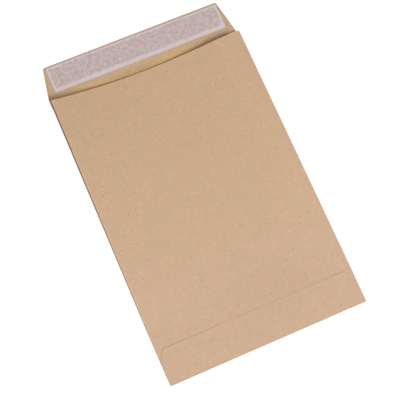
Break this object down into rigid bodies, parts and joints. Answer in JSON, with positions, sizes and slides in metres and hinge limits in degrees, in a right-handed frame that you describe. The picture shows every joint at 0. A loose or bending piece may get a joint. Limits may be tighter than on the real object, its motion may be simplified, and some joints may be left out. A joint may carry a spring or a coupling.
{
  "type": "paper envelope",
  "caption": "Large kraft paper pocket envelope with pleated sides, a folded and glued bottom flap, an open mouth and an open peel-and-seal flap.",
  "frame": {"origin": "middle of the front panel's underside, on the surface that the envelope lies on", "axes": "+X across the pocket to the right, +Y from the bottom fold up to the seal flap, +Z out of the back panel, away from the surface"},
  "size_m": [0.2569, 0.4269, 0.0104],
  "materials": {
    "kraft_paper": "matt recycled kraft with fine fibre flecks",
    "adhesive": "dull tacky film",
    "release_paper": "smooth silicone-coated, slightly translucent"
  },
  "bodies": {
    "root": {"envelope_sheet": "kraft_paper", "adhesive_strip": "adhesive", "release_liner": "release_paper"}
  },
  "joints": []
}
